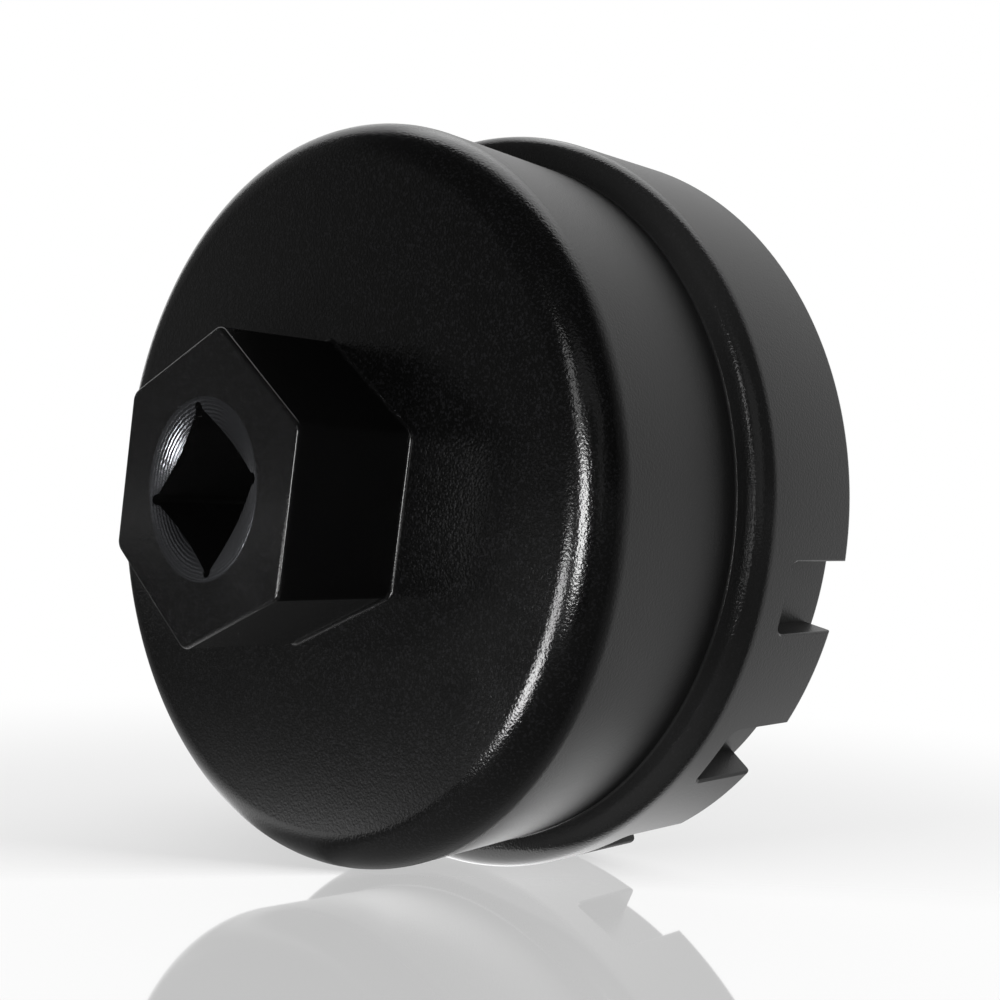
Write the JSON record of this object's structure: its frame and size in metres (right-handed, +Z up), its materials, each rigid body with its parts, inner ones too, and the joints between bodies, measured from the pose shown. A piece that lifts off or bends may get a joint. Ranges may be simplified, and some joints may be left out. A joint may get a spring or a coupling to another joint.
{
  "type": "oil filter wrench",
  "caption": "Cap-type oil filter wrench: round cup with a fluted socket, a notched collar at the open end, and a hex boss with a square drive hole on the closed end.",
  "frame": {"origin": "under the middle of the tool, on the surface that its collar rests on", "axes": "+Y along the tool's axis from the hex boss to the open end, +Z up, +X to the right when looking at the hex"},
  "size_m": [0.0898, 0.0568, 0.0897],
  "materials": {
    "cup_coat": "satin black powder coat on cast aluminium",
    "collar_coat": "satin black powder coat on cast aluminium",
    "hex_coat": "satin black powder coat on aluminium, bare turned metal in the drive hole's lead-in"
  },
  "bodies": {
    "root": {"fluted_cup": "cup_coat", "notched_collar": "collar_coat", "drive_hex": "hex_coat"}
  },
  "joints": []
}
